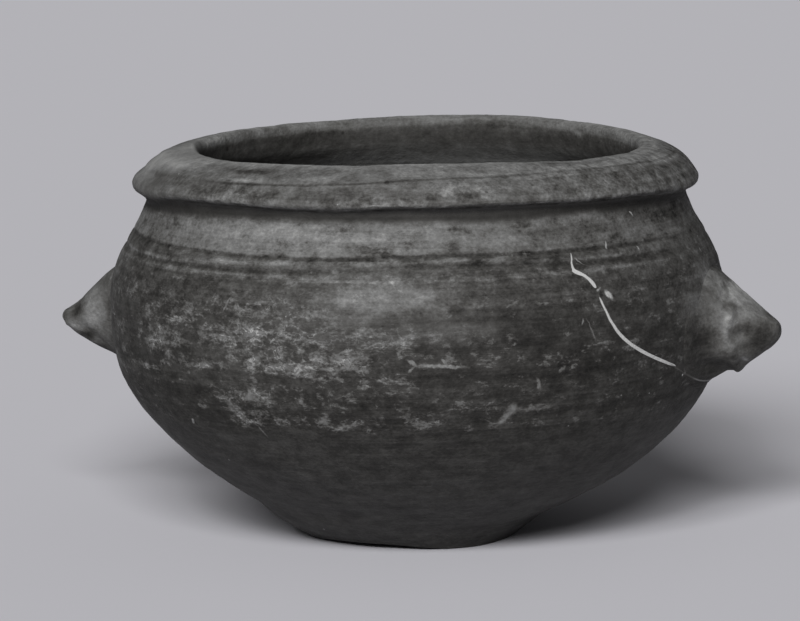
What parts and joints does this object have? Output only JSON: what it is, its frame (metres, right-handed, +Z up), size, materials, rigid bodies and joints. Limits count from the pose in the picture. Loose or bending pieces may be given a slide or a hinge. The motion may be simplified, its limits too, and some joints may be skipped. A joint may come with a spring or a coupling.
{
  "type": "lug-handled pot",
  "caption": "Wide round-bellied clay pot on a narrow base, with a thick out-turned rim, incised shoulder lines and a pointed lug on each side.",
  "frame": {"origin": "on the turning axis of the pot, in the plane of the underside of the base", "axes": "+Z up out of the mouth; +X through the lug on the right of the picture, so the lugs lie on the X axis"},
  "size_m": [0.289, 0.2384, 0.1535],
  "materials": {
    "base_clay": "smoke-darkened fired clay, smooth, matt",
    "body_clay": "dark grey fired clay with wiping streaks and pale lime crust, matt",
    "shoulder_clay": "grey fired clay, horizontally wiped, matt",
    "rim_clay": "grey fired clay with small scars and pale specks, matt",
    "lug_clay": "grey fired clay with chalky patches and pits, matt"
  },
  "bodies": {
    "root": {"floor_disc": "base_clay", "lower_wall": "body_clay", "shoulder_wall": "shoulder_clay", "rim_collar": "rim_clay", "lug_left": "lug_clay", "lug_right": "lug_clay"}
  },
  "joints": []
}
